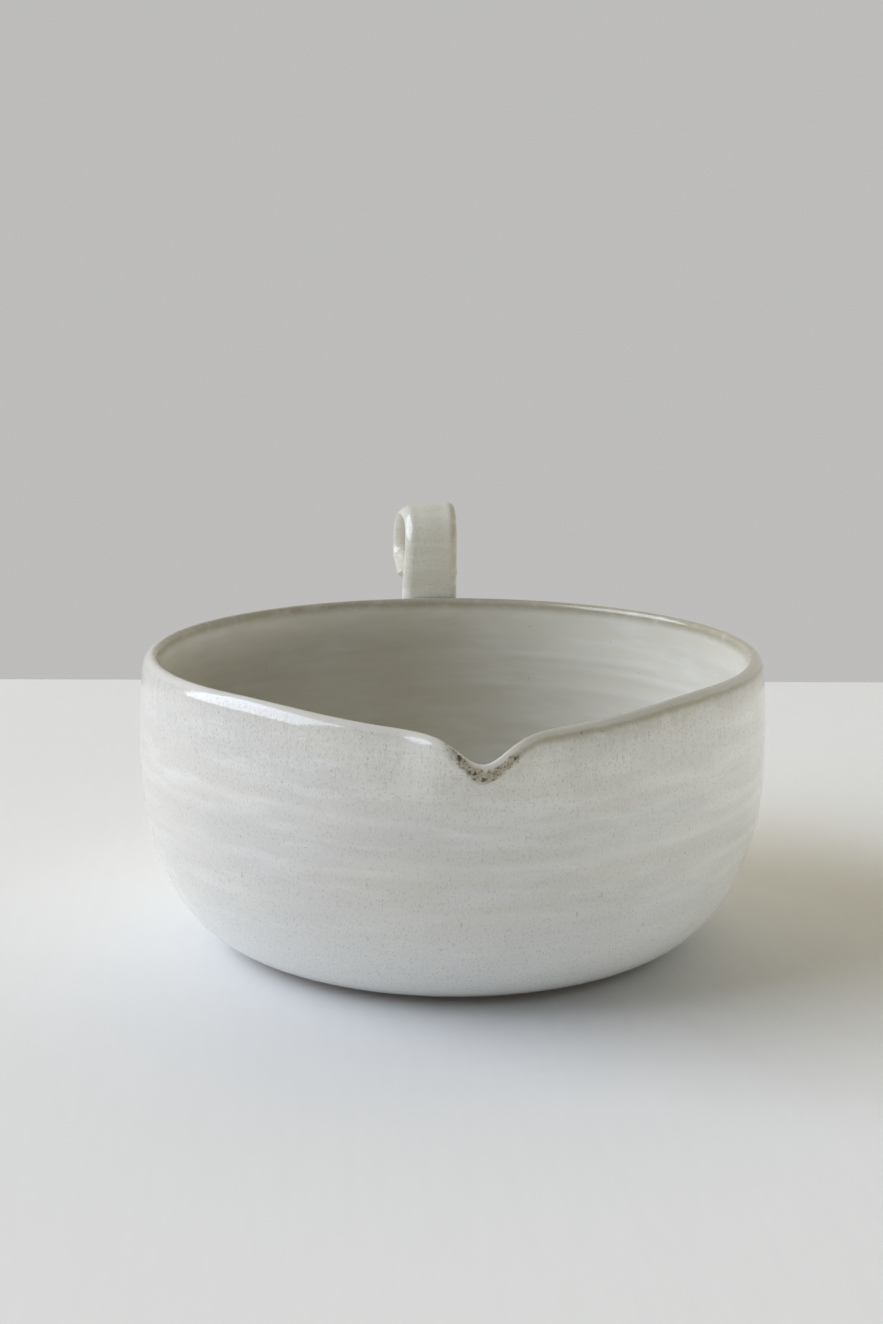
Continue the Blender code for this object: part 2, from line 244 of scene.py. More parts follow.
def pull_lip(radius, angle, height):
    """Where a point of the thrown wall ends up once the lip has been pulled at the front."""
    along_rim = angle * RIM_MIDDLE
    swept = bell(along_rim, SWEEP_HALF_WIDTH) * ramp(height, SWEEP_ROOT, RIM_HEIGHT)
    pulled = lip_share(along_rim)
    dropped = pulled * ramp(height, LIP_ROOT, RIM_HEIGHT)
    cheek = bell(along_rim - LIP_ASIDE, CHEEK_HALF_WIDTH) ** CHEEK_TAPER - pulled
    swelling = CHEEK_REACH * cheek * ramp(height, CHEEK_ROOT, RIM_HEIGHT)
    middle = (outer_radius(height) + inner_radius(height)) / 2 if height > FLOOR else 0
    from_middle = radius - middle

    up_lip = min(max((height - RIM_HEIGHT + LIP_LENGTH) / LIP_LENGTH, 0), 1)
    bend = LIP_BEND * pulled
    turned = bend * up_lip
    if turned > 0:
        middle += LIP_LENGTH * (1 - math.cos(turned)) / bend
        height += LIP_LENGTH * (math.sin(turned) / bend - up_lip)
    radius = middle + from_middle * math.cos(turned) + SWEEP_REACH * swept + swelling
    height += -from_middle * math.sin(turned) - SWEEP_DROP * swept - LIP_DROP * dropped
    return radius * math.sin(angle), -radius * math.cos(angle), height


def round_angles():
    """Angles of the mesh's columns from the lip's middle, closest together across the lip."""
    lip_angle = LIP_HALF_WIDTH / RIM_MIDDLE
    sweep_angle = SWEEP_HALF_WIDTH / RIM_MIDDLE
    sectors = (
        (-lip_angle, lip_angle, LIP_STEPS),
        (lip_angle, sweep_angle, SWEEP_STEPS),
        (sweep_angle, 2 * math.pi - sweep_angle, ROUND_STEPS),
        (-sweep_angle, -lip_angle, SWEEP_STEPS),
    )
    angles = []
    for start, end, steps in sectors:
        for step in range(steps):
            angle = start + (end - start) * step / steps
            angles.append(math.atan2(math.sin(angle), math.cos(angle)))
    return angles


# Numbers that the glaze reads from each point, as they are on plain glaze far from the rim
PLAIN_MARKS = {"below_crest": 0.05, "from_lip": 0.2, "thin_and_shaded_edge": 0.0, "ring": 0.0, "bare": 0.0}


def give_marks(mesh, marks):
    """Stores the numbers that the glaze reads, plain ones where the piece has none of its own."""
    for name, plain in PLAIN_MARKS.items():
        values = marks.get(name, [plain] * len(mesh.vertices))
        mesh.attributes.new(name, "FLOAT", "POINT").data.foreach_set("value", values)


def add_piece(name, points, faces, marks):
    """One smooth object from points and faces, with its marks."""
    mesh = bpy.data.meshes.new(name)
    mesh.from_pydata(points, [], faces)
    work = bmesh.new()
    work.from_mesh(mesh)
    bmesh.ops.recalc_face_normals(work, faces=work.faces)
    work.to_mesh(mesh)
    work.free()
    mesh.shade_smooth()
    give_marks(mesh, marks)
    piece = bpy.data.objects.new(name, mesh)
    bpy.context.scene.collection.objects.link(piece)
    return piece


def throw_bowl():
    """The profile carried round the axis, with its finger rings, and the lip then pulled."""
    profile = bowl_profile()
    distances = below_crest(profile)
    angles = round_angles()
    points = []
    marks = {"below_crest": [], "from_lip": [], "ring": [], "bare": []}
    for angle in angles:
        along_rim = angle * RIM_MIDDLE
        for (radius, height, side), distance in zip(profile, distances):
            ring = finger_ring(height, angle, side) if side else 0
            proud = OUTSIDE_RING * ring if side > 0 else -INSIDE_RING * ring
            rolled = bell(distance - LIP_BEAD_BELOW, LIP_BEAD_HALF_HEIGHT)
            proud += LIP_BEAD * lip_share(along_rim) * rolled
            points.append(pull_lip(radius + proud, angle, height))
            marks["below_crest"].append(distance)
            marks["from_lip"].append(along_rim)
            marks["ring"].append(ring)
            wiped = 1 - ramp(height, FOOT_WIPED, FOOT_WIPED + BASE_BEVEL)
            marks["bare"].append(wiped if side >= 0 else 0.0)
    rows = len(profile)
    faces = []
    for column in range(len(angles)):
        here = column * rows
        beside = (column + 1) % len(angles) * rows
        for row in range(rows - 1):
            faces.append((here + row, beside + row, beside + row + 1, here + row + 1))
    for row, height, bare in ((0, 0.0, 1.0), (rows - 1, FLOOR, 0.0)):
        middle = len(points)
        points.append((0, 0, height))
        for name, values in marks.items():
            values.append(bare if name == "bare" else PLAIN_MARKS[name])
        for column in range(len(angles)):
            beside = (column + 1) % len(angles)
            faces.append((middle, column * rows + row, beside * rows + row))
    return add_piece("bowl", points, faces, marks)


# Colours of the glaze and the clay
CREAM = (0.610, 0.589, 0.535)
COOL_GREY = (0.583, 0.571, 0.533)
# Pale glaze, also laid on as painted light low on the wall and on the ridges
PALE_GLAZE_AND_LIGHT = (0.740, 0.746, 0.725)
INSIDE_CREAM = (0.645, 0.622, 0.538)
INSIDE_GREY = (0.610, 0.592, 0.516)
# Tan of thin glaze, also laid on as painted shade on the sides turned from the window
THIN_TAN_AND_SHADE = (0.310, 0.275, 0.178)
LIP_DARK = (0.19, 0.15, 0.095)
GRAIN = (0.350, 0.335, 0.275)
IRON = (0.05, 0.035, 0.02)
OCHRE = (0.46, 0.36, 0.18)
BARE_CLAY = (0.40, 0.32, 0.24)
DARK_CLAY = (0.30, 0.23, 0.17)

# Where the glaze changes below the crest of the rim, as (starts, full) or (starts, full, full to, ends)
OUTSIDE_FROM = (0.0008, 0.0036)
INSIDE_FROM = (-0.0010, -0.0060)
RUNS_BELOW = (0.0008, 0.0036, 0.006, 0.036)
TAN_OUTSIDE = (0.0022, 0.0034, 0.0036, 0.0052)
TAN_INSIDE = (-0.0060, -0.0022, -0.0008, 0.0006)
TAN_CREST = (-0.0014, -0.0004, 0.0030, 0.0044)
TAN_BLUSH = (0.0022, 0.0034, 0.0044, 0.0120)
LIP_TAN = (-0.0014, 0.0004, 0.0055, 0.0061)
LIP_BROWN = (0.0001, 0.0010, 0.0019, 0.0050)
LIP_SPECKLED = (-0.0004, 0.0008, 0.0042, 0.0058)

# Where it changes along the rim from the middle of the lip, and up the wall
# The tan comes in to the right of the lip: partly thin glaze, partly painted shade on the rim turned from
# the window
TAN_AND_SHADE_FROM = (-0.008, 0.012)
TAN_ON_LIT_LEFT = 0.15  # share of the tan that is on the rim to the left of the lip
LIP_REACH = (0.0108, 0.0068)
LIP_SLANT = -0.15  # the brown runs from the crest on the left down to the bead's edge on the right
# Painted table light: the height at which it starts up the wall, and the height under which it is full
BOUNCE_PAINTED_FROM = (0.050, 0.006)
EDGE_WANDER = 0.0007

# Noise, as (features to the metre, detail, roughness). A stretch over 1 draws it together along its axis
# and one under 1 draws it out. A step gives the values between which it comes in.
CLOUDS = (26.0, 3.0, 0.5)
CLOUDS_STRETCH = (1.0, 1.0, 2.6)
CLOUDS_STEP = (0.38, 0.66)
STREAKS = (34.0, 4.0, 0.6)
STREAKS_STRETCH = (1.0, 1.0, 6.0)
STREAKS_STEP = (0.44, 0.68)
RUNS = (620.0, 3.0, 0.65)
RUNS_STRETCH = (1.0, 1.0, 0.16)
RUNS_STEP = (0.40, 0.75)
GRAINS = (1900.0, 3.0, 0.65)
GRAINS_STRETCH = (1.0, 1.0, 0.60)
GRAINS_STEP = (0.52, 0.70)
PATCHES = (150.0, 4.0, 0.65)
PATCHES_STEP = (0.18, 0.55)
MOTTLE = (700.0, 4.0, 0.7)
MOTTLE_STEP = (0.30, 0.75)
WANDER = (260.0, 4.0, 0.6)
CLAY_GRAIN = (900.0, 4.0, 0.5)
SHEEN = (120.0, 3.0, 0.5)
SKIN = (260.0, 2.0, 0.5)

# Share of what lies below that each of them covers, and the sheen and relief of the glaze
# Strength of the painted light low on the wall
BOUNCE_PAINTED_SHARE = 0.85
# Ridges paler, partly as painted light
RIDGE_PALE_AND_LIT_SHARE = 0.30
STREAKS_SHARE = 0.34
RUNS_SHARE = 0.20
GRAIN_SHARE = 0.50
GRAIN_UNDER_RIM = 0.20
# Grain kept off the ridges, partly as painted shade in the grooves
GRAIN_OFF_LIT_RIDGE = 0.65
CREST_SHARE = 0.45
LINE_SHARE = 0.60
EDGE_SHARE = 0.82
EDGE_PATCHY = (0.5, 0.5)  # what patches add to the tan inside the rim, and its share without them
BLUSH_SHARE = 0.38
LIP_SHARE = (0.70, 0.20)  # added along the brown line, and all over the lip's band
LIP_MOTTLE = (0.5, 0.6)
LIP_DARK_SHARE = 0.45
SHEEN_ROUGH = (0.06, 0.05)
GLAZE_IOR = 1.6
CLAY_ROUGH = 0.6
GRAIN_RELIEF = 0.18
SKIN_STRENGTH = 0.10
SKIN_DEPTH = 0.0004

# Specks, as (cells to the metre, radius, share of the cells that hold one, share of their colour)
DRIPS = (150.0, 0.00055, 0.40, 0.50)
DRIPS_STRETCH = (1.0, 1.0, 0.40)
FINE_SPECKS = (330.0, 0.00028, 0.10, 0.42)
RIM_SPECKS = (560.0, 0.00032, 0.34, 0.60)
LIP_FINE_SPECKS = (1100.0, 0.00034, 0.60, 0.55)
LIP_SPECKS = (640.0, 0.00084, 0.78, 0.96)
SPECK_RAGGED = 0.9  # features of the ragged edge in each speck's radius
SPECK_DRIFT = 2.2  # how far its edge strays, in radii
SPECK_CORE = 0.65  # share of the radius that is full colour


def add_node(tree, kind, sockets, **settings):
    """A node with its settings, whose sockets are given as values or as another node's output."""
    made = tree.nodes.new(kind)
    for name, value in settings.items():
        setattr(made, name, value)
    for socket, value in sockets.items():
        if isinstance(value, bpy.types.NodeSocket):
            tree.links.new(value, made.inputs[socket])
        else:
            made.inputs[socket].default_value = value
    return made


def mark(tree, name):
    return add_node(tree, "ShaderNodeAttribute", {}, attribute_name=name).outputs["Fac"]


def arithmetic(tree, operation, first, second):
    return add_node(tree, "ShaderNodeMath", {0: first, 1: second}, operation=operation).outputs[0]


def times(tree, first, second):
    return arithmetic(tree, "MULTIPLY", first, second)


def scaled(tree, value, factor, added):
    """A node that gives value times factor, plus added."""
    sockets = {0: value, 1: factor, 2: added}
    return add_node(tree, "ShaderNodeMath", sockets, operation="MULTIPLY_ADD").outputs[0]


def soft_step(tree, value, start, end):
    """A node that goes smoothly from 0 at start to 1 at end."""
    sockets = {"Value": value, "From Min": start, "From Max": end, "To Min": 0.0, "To Max": 1.0}
    return add_node(tree, "ShaderNodeMapRange", sockets, interpolation_type="SMOOTHSTEP").outputs[0]


def band(tree, value, start, full, last, end):
    """A node that rises from 0 at start to 1 at full and falls again from last to end."""
    return times(tree, soft_step(tree, value, start, full), soft_step(tree, value, end, last))


# The Mix node's inputs for its share and its two colours, and its output for a colour
MIX_INPUTS = (0, 6, 7)
MIX_OUTPUT = 2


def blend_colour(tree, share, first, second):
    """A node that mixes two colours, where a share of 1 is all the second one."""
    def whole(colour):
        return (*colour, 1.0) if isinstance(colour, tuple) else colour

    sockets = dict(zip(MIX_INPUTS, (share, whole(first), whole(second))))
    return add_node(tree, "ShaderNodeMix", sockets, data_type="RGBA").outputs[MIX_OUTPUT]


def stretched(tree, place, scale):
    return add_node(tree, "ShaderNodeVectorMath", {0: place, 1: scale}, operation="MULTIPLY").outputs[0]


def noise(tree, place, scale, detail, roughness):
    sockets = {"Vector": place, "Scale": scale, "Detail": detail, "Roughness": roughness}
    return add_node(tree, "ShaderNodeTexNoise", sockets).outputs["Fac"]


def specks(tree, place, scale, radius, share):
    """Ragged specks of about a radius, one in some of the cells of a grid with scale cells to the metre."""
    ragged = add_node(tree, "ShaderNodeTexNoise", {"Vector": place, "Scale": SPECK_RAGGED / radius})
    drift = stretched(tree, ragged.outputs["Color"], (radius * SPECK_DRIFT,) * 3)
    drifted = add_node(tree, "ShaderNodeVectorMath", {0: place, 1: drift}, operation="ADD").outputs[0]
    cells = add_node(tree, "ShaderNodeTexVoronoi", {"Vector": drifted, "Scale": scale})
    edge = radius * scale
    near = soft_step(tree, cells.outputs["Distance"], edge, edge * SPECK_CORE)
    chance = add_node(tree, "ShaderNodeSeparateColor", {0: cells.outputs["Color"]}).outputs[0]
    return times(tree, near, arithmetic(tree, "LESS_THAN", chance, share))


def add_specks(tree, colour, place, kind, where, speck_colour):
    """The colour with one kind of specks over it, where they show."""
    *grid, strength = kind
    share = times(tree, specks(tree, place, *grid), where)
    return blend_colour(tree, times(tree, share, strength), colour, speck_colour)


def glaze(name, cream, cool_grey):
    """Oatmeal glaze: clouded cream with grain and runs, tan where thin, iron specks, bare clay below, and
    painted light and shade.
    """
    material = bpy.data.materials.new(name)
    material.use_nodes = True
    tree = material.node_tree
    shader = tree.nodes["Principled BSDF"]
    place = add_node(tree, "ShaderNodeTexCoord", {}).outputs["Object"]
    height = add_node(tree, "ShaderNodeSeparateXYZ", {0: place}).outputs["Z"]
    crest = mark(tree, "below_crest")
    from_lip = mark(tree, "from_lip")
    ring = mark(tree, "ring")
    bare = mark(tree, "bare")
    wander = scaled(tree, noise(tree, place, *WANDER), 2 * EDGE_WANDER, -EDGE_WANDER)
    below = arithmetic(tree, "ADD", crest, wander)
    outside = soft_step(tree, crest, *OUTSIDE_FROM)
    inside = soft_step(tree, crest, *INSIDE_FROM)
    under_rim = band(tree, crest, *RUNS_BELOW)

    # Clouds of cream and grey and level streaks of paler glaze. Painted light: paler and cooler low on the
    # wall, for the light that the table throws up on it, and paler on the ridges, partly for the light that
    # they catch
    clouds = noise(tree, stretched(tree, place, CLOUDS_STRETCH), *CLOUDS)
    cool = soft_step(tree, clouds, *CLOUDS_STEP)
    colour = blend_colour(tree, cool, cream, cool_grey)
    colour = blend_colour(tree, inside, colour, blend_colour(tree, cool, INSIDE_CREAM, INSIDE_GREY))
    # Painted light: the lower wall is paler and cooler, standing in for the light thrown up by the pale
    # table
    painted_bounce = times(tree, soft_step(tree, height, *BOUNCE_PAINTED_FROM), outside)
    colour = blend_colour(tree, times(tree, painted_bounce, BOUNCE_PAINTED_SHARE), colour, PALE_GLAZE_AND_LIGHT)
    # Paler on the ridges: partly the glaze, partly painted light on the finger rings
    colour = blend_colour(tree, times(tree, ring, RIDGE_PALE_AND_LIT_SHARE), colour, PALE_GLAZE_AND_LIGHT)
    streaks = noise(tree, stretched(tree, place, STREAKS_STRETCH), *STREAKS)
    streaks = soft_step(tree, streaks, *STREAKS_STEP)
    colour = blend_colour(tree, times(tree, streaks, STREAKS_SHARE), colour, PALE_GLAZE_AND_LIGHT)

    # Runs under the rim, and fine grain all over the outside that is denser between the ridges
    runs = noise(tree, stretched(tree, place, RUNS_STRETCH), *RUNS)
    runs = times(tree, soft_step(tree, runs, *RUNS_STEP), under_rim)
    colour = blend_colour(tree, times(tree, runs, RUNS_SHARE), colour, GRAIN)
    grains = soft_step(tree, noise(tree, stretched(tree, place, GRAINS_STRETCH), *GRAINS), *GRAINS_STEP)
    grain_share = scaled(tree, under_rim, GRAIN_UNDER_RIM, times(tree, outside, GRAIN_SHARE))
    # Less grain on the ridges, so that the grooves read darker: partly grain, partly painted shade in the
    # grooves
    grain_share = times(tree, grain_share, scaled(tree, ring, -GRAIN_OFF_LIT_RIDGE, 1.0))
    colour = blend_colour(tree, times(tree, grains, grain_share), colour, GRAIN)

    # Tan where the glaze is thin: along both edges of the rim, down from the crest, and on the strap's
    # edge. The tan kept mostly to the rim's right and on the strap's right edge is also painted shade, on
    # the sides turned from the window
    from_valley = arithmetic(tree, "SUBTRACT", from_lip, LIP_ASIDE)
    near_lip = soft_step(tree, arithmetic(tree, "ABSOLUTE", from_valley, 0.0), *LIP_REACH)
    patchy = soft_step(tree, noise(tree, place, *PATCHES), *PATCHES_STEP)
    # Painted shade: the outer tan, the tan crest and the blush are kept mostly to the right of the lip,
    # turned from the window
    to_right = soft_step(tree, from_lip, *TAN_AND_SHADE_FROM)
    to_right = scaled(tree, to_right, 1.0 - TAN_ON_LIT_LEFT, TAN_ON_LIT_LEFT)
    outside_tan_and_shade = times(tree, band(tree, below, *TAN_OUTSIDE), to_right)
    tan_inside = times(tree, band(tree, below, *TAN_INSIDE), scaled(tree, patchy, *EDGE_PATCHY))
    tan_inside = times(tree, tan_inside, scaled(tree, near_lip, -1.0, 1.0))
    crest_tan_and_shade = times(tree, band(tree, below, *TAN_CREST), to_right)
    colour = blend_colour(tree, times(tree, crest_tan_and_shade, CREST_SHARE), colour, THIN_TAN_AND_SHADE)
    edge = arithmetic(tree, "MAXIMUM", times(tree, outside_tan_and_shade, LINE_SHARE), tan_inside)
    # The strap's right edge: tan of thin glaze, made stronger as painted shade on the side turned from the
    # window
    edge = arithmetic(tree, "MAXIMUM", edge, times(tree, mark(tree, "thin_and_shaded_edge"), patchy))
    colour = blend_colour(tree, times(tree, edge, EDGE_SHARE), colour, THIN_TAN_AND_SHADE)
    blush_and_shade = times(tree, times(tree, band(tree, below, *TAN_BLUSH), to_right), patchy)
    colour = blend_colour(tree, times(tree, blush_and_shade, BLUSH_SHARE), colour, THIN_TAN_AND_SHADE)

    # The lip's rolled edge, tan all over, with a brown line that slants across it
    slanted = scaled(tree, from_valley, LIP_SLANT, below)
    lip_band = times(tree, near_lip, band(tree, below, *LIP_TAN))
    lip_line = times(tree, lip_band, band(tree, slanted, *LIP_BROWN))
    mottled = soft_step(tree, noise(tree, place, *MOTTLE), *MOTTLE_STEP)
    lip_share_of_tan = times(tree, scaled(tree, lip_line, *LIP_SHARE), scaled(tree, mottled, *LIP_MOTTLE))
    colour = blend_colour(tree, times(tree, lip_share_of_tan, lip_band), colour, THIN_TAN_AND_SHADE)
    lip_dark = times(tree, times(tree, lip_line, mottled), LIP_DARK_SHARE)
    colour = blend_colour(tree, lip_dark, colour, LIP_DARK)

    # Ochre drips and iron specks, thickest on the lip
    colour = add_specks(tree, colour, stretched(tree, place, DRIPS_STRETCH), DRIPS, outside, OCHRE)
    colour = add_specks(tree, colour, place, FINE_SPECKS, 1.0, IRON)
    colour = add_specks(tree, colour, place, RIM_SPECKS, outside_tan_and_shade, IRON)
    lip_speckled = times(tree, lip_band, band(tree, slanted, *LIP_SPECKLED))
    colour = add_specks(tree, colour, place, LIP_FINE_SPECKS, lip_speckled, IRON)
    colour = add_specks(tree, colour, place, LIP_SPECKS, lip_line, IRON)

    # Bare clay under the foot, then the sheen and the slight unevenness of the fired surface
    clay = blend_colour(tree, noise(tree, place, *CLAY_GRAIN), BARE_CLAY, DARK_CLAY)
    tree.links.new(blend_colour(tree, bare, colour, clay), shader.inputs["Base Color"])
    sheen = scaled(tree, noise(tree, place, *SHEEN), *SHEEN_ROUGH)
    tree.links.new(scaled(tree, bare, CLAY_ROUGH, sheen), shader.inputs["Roughness"])
    shader.inputs["IOR"].default_value = GLAZE_IOR
    skin = scaled(tree, grains, GRAIN_RELIEF, noise(tree, place, *SKIN))
    relief = {"Height": skin, "Strength": SKIN_STRENGTH, "Distance": SKIN_DEPTH}
    bump = add_node(tree, "ShaderNodeBump", relief)
    tree.links.new(bump.outputs["Normal"], shader.inputs["Normal"])
    return material


bowl = throw_bowl()
bowl.data.materials.append(glaze("bowl_glaze", CREAM, COOL_GREY))
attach(bowl, "root")
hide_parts("thrown_bowl")

# Strap handle. A strip of stoneware is pulled to an oval section, pressed on the wall below the rim,
# carried up past it and curled out and back on to its own stem. The bowl's glaze covers it.
STRAP_WIDTH = 0.0198
STRAP_TIP_WIDTH = 0.0214
STRAP_THICKNESS = 0.0060
STRAP_TIP_THICKNESS = 0.0050
ELLIPSE = 2  # squareness of a plain ellipse
LEFT_EDGE = (0.0042, 1.5)  # how far its rounding reaches in, and its squareness
RIGHT_EDGE = (0.0026, ELLIPSE)
ROOT_HEIGHT = 0.050
ROOT_TONGUE = 0.011
TONGUE_END = 0.02
TONGUE_THIN = 0.4
LOOP_SPRING = 0.0190
LOOP_CROWN = 0.0303
LOOP_CROWN_REACH = 0.0110
LOOP_REACH = 0.0360
LOOP_HEEL = 0.0098
LOOP_HEEL_RADIUS = 0.0055
LOOP_TAIL = 0.0082
SEAT_GAP = 0.0003
BEDDED = 0.0006  # how far the strap is pressed into the clay that it is luted to
BED_END = (0.014, 0.005)  # how far below the top of the rim the pressing starts to fade, and ends
CROWN_TILT = math.radians(-4.5)  # the hand-curled strap leans a little to one side at its top
LEFT_DRAWN_IN = 0.0013  # how far its left edge is drawn in at the top of the stem
LEFT_SPREAD = 0.0010  # and how far it spreads again down the back of the curl
PULL_GROOVE = 0.00016  # depth of the two grooves that the pulling fingers leave
PULL_GROOVE_AT = (0.45, 0.35)  # their place and half width, as shares of the strap's half width
# The tan on the right edge is also painted shade, for the side turned from the window
THIN_AND_SHADED_EDGE = 0.36  # share of the half width over which the glaze is thin on the right edge

# Where these come and go, as shares of the points of the strap's line, from its root to its tip
TILT_COMES = (0.30, 0.50)
TILT_GOES = (0.72, 0.95)
DRAWN_IN_COMES = (0.30, 0.42)
DRAWN_IN_GOES = (0.46, 0.60)
SPREAD_COMES = (0.52, 0.72)
CURL_STARTS = 0.40

# Colours of its glaze, a little more olive than the bowl's
HANDLE_CREAM = (0.588, 0.565, 0.470)
HANDLE_GREY = (0.565, 0.548, 0.470)

# Fineness of the strap's mesh
ROOT_STEPS = 60
STEM_STEPS = 24
CURL_STEPS = 34
TAIL_STEPS = 24
STRAP_SIDES = 72


def wall_lean(height):
    """How much the outside of the wall moves out for each unit up."""
    return (outer_radius(height + WALL) - outer_radius(height - WALL)) / (2 * WALL)


def bezier(start, start_slope, end, end_slope, shares):
    """Points of a cubic curve between two (radius, height) places, at these shares of its way."""
    third = (end[1] - start[1]) / 3
    control = (start, (start[0] + start_slope * third, start[1] + third),
               (end[0] - end_slope * third, end[1] - third), end)
    points = []
    for share in shares:
        weights = ((1 - share) ** 3, 3 * share * (1 - share) ** 2, 3 * share**2 * (1 - share), share**3)
        points.append(tuple(sum(w * p[axis] for w, p in zip(weights, control)) for axis in (0, 1)))
    return points


def quarter(centre, half_width, half_height, from_angle, steps):
    """Points of a quarter ellipse that runs clockwise from from_angle, leaving out the last one."""
    points = []
    for step in range(steps):
        angle = from_angle - math.pi / 2 * step / steps
        points.append((centre[0] + half_width * math.cos(angle), centre[1] + half_height * math.sin(angle)))
    return points


stem_radius = RIM_RADIUS + SEAT_GAP + STRAP_THICKNESS / 2


def strap_line():
    """The strap's middle as (radius, height), from its root up the wall and round the curl to its tip."""
    rim = (outer_radius(RIM_EDGE_HEIGHT) + SEAT_GAP + STRAP_THICKNESS / 2, RIM_EDGE_HEIGHT)
    root = (outer_radius(ROOT_HEIGHT) + SEAT_GAP + STRAP_THICKNESS / 2, ROOT_HEIGHT)
    spring = (stem_radius, RIM_HEIGHT + LOOP_SPRING)
    heel_height = RIM_HEIGHT + LOOP_HEEL + LOOP_HEEL_RADIUS
    crown = LOOP_CROWN - LOOP_SPRING
    back_fall = RIM_HEIGHT + LOOP_CROWN - heel_height
    tail_start = stem_radius + LOOP_REACH - LOOP_HEEL_RADIUS
    tail_end = stem_radius + STRAP_THICKNESS / 2 - BEDDED

    from_tongue = [1 - math.cos(math.pi / 2 * i / ROOT_STEPS) for i in range(ROOT_STEPS)]
    evenly = [i / STEM_STEPS for i in range(STEM_STEPS)]
    line = bezier(root, wall_lean(ROOT_HEIGHT), rim, wall_lean(RIM_EDGE_HEIGHT), from_tongue)
    line += bezier(rim, wall_lean(RIM_EDGE_HEIGHT), spring, 0, evenly)
    line += quarter((spring[0] + LOOP_CROWN_REACH, spring[1]), LOOP_CROWN_REACH, crown, math.pi, CURL_STEPS)
    line += quarter((spring[0] + LOOP_CROWN_REACH, heel_height), LOOP_REACH - LOOP_CROWN_REACH, back_fall,
                    math.pi / 2, CURL_STEPS)
    line += quarter((tail_start, heel_height), LOOP_HEEL_RADIUS, LOOP_HEEL_RADIUS, 0, CURL_STEPS)
    for step in range(TAIL_STEPS + 1):
        share = step / TAIL_STEPS
        fall = (LOOP_HEEL - LOOP_TAIL) * ramp(share, 0, 1)
        line.append((tail_start + (tail_end - tail_start) * share, RIM_HEIGHT + LOOP_HEEL - fall))
    return line


def directions(line):
    """Unit directions along a line of points."""
    found = []
    for index in range(len(line)):
        before = Vector(line[max(index - 1, 0)])
        after = Vector(line[min(index + 1, len(line) - 1)])
        found.append((after - before).normalized())
    return found


def pressed_on_wall(point, facing):
    """Soft clay is pressed on to the wall where it faces it, and out where it would sink in further."""
    radius = math.hypot(point.x, point.y)
    if point.z > RIM_EDGE_HEIGHT:
        return point
    seat = outer_radius(point.z) - BEDDED
    pressed = facing * (1 - ramp(point.z, *(RIM_HEIGHT - below for below in BED_END)))
    scale = (seat if radius < seat else radius + (seat - radius) * pressed) / radius
    return Vector((point.x * scale, point.y * scale, point.z))


def strap_sizes(along, tongue_share):
    """Half width and half thickness of the strap, tapering to its tip and rounded off at its root."""
    width = STRAP_WIDTH + (STRAP_TIP_WIDTH - STRAP_WIDTH) * along
    thickness = STRAP_THICKNESS + (STRAP_TIP_THICKNESS - STRAP_THICKNESS) * along
    rounded = superellipse(1 - tongue_share, ELLIPSE)
    return width / 2 * rounded, thickness / 2 * (TONGUE_THIN + (1 - TONGUE_THIN) * rounded)


def strap_edge(share, half_width):
    """Thickness of the strap at a share of its half width, as a share of its full thickness."""
    reach, squareness = LEFT_EDGE if share < 0 else RIGHT_EDGE
    reach = min(reach, half_width)
    return superellipse(max(1 - (1 - abs(share)) * half_width / reach, 0), squareness)


def left_shift(along):
    """How far the left edge lies in from the plain strap's, at a share of the line's points."""
    drawn_in = LEFT_DRAWN_IN * ramp(along, *DRAWN_IN_COMES) * (1 - ramp(along, *DRAWN_IN_GOES))
    return drawn_in - LEFT_SPREAD * ramp(along, *SPREAD_COMES)


def tube_faces(ring_count, side_count):
    """Faces of a closed tube through rings of points, capped at both ends."""
    faces = []
    for ring in range(ring_count - 1):
        for side in range(side_count):
            beside = (side + 1) % side_count
            here = ring * side_count
            faces.append((here + side, here + beside, here + side_count + beside, here + side_count + side))
    last = (ring_count - 1) * side_count
    faces.append(tuple(range(side_count)))
    faces.append(tuple(range(last, last + side_count)))
    return faces


def pull_strap():
    """The oval strap carried along its line, with its root pressed on the wall."""
    line = strap_line()
    points = []
    marks = {"thin_and_shaded_edge": []}
    for index, (place, direction) in enumerate(zip(line, directions(line))):
        along = index / (len(line) - 1)
        in_curl = along > CURL_STARTS
        tongue_share = 1 if in_curl else min((place[1] - ROOT_HEIGHT) / ROOT_TONGUE + TONGUE_END, 1)
        half_width, half_thickness = strap_sizes(along, tongue_share)
        tilt = CROWN_TILT * ramp(along, *TILT_COMES) * (1 - ramp(along, *TILT_GOES))
        for side in range(STRAP_SIDES):
            angle = 2 * math.pi * side / STRAP_SIDES
            across = math.cos(angle)
            out = math.copysign(strap_edge(across, half_width), math.sin(angle))
            groove = PULL_GROOVE * bell(abs(across) - PULL_GROOVE_AT[0], PULL_GROOVE_AT[1]) * tongue_share
            across_length = across * (half_width - (left_shift(along) if across < 0 else 0))
            out_length = out * (half_thickness - groove)
            turned_across = across_length * math.cos(tilt) - out_length * math.sin(tilt)
            turned_out = across_length * math.sin(tilt) + out_length * math.cos(tilt)
            point = Vector((turned_across, place[0] + direction[1] * turned_out,
                            place[1] - direction[0] * turned_out))
            points.append(pressed_on_wall(point, 0 if in_curl else max(-out, 0)))
            # Only the right edge, the side turned from the window, gets this tan and painted shade
            marks["thin_and_shaded_edge"].append(bell(across - 1, THIN_AND_SHADED_EDGE))
    return add_piece("handle", points, tube_faces(len(line), STRAP_SIDES), marks)


handle = pull_strap()
handle.data.materials.append(glaze("handle_glaze", HANDLE_CREAM, HANDLE_GREY))
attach(handle, "root")
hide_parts("strap_handle")

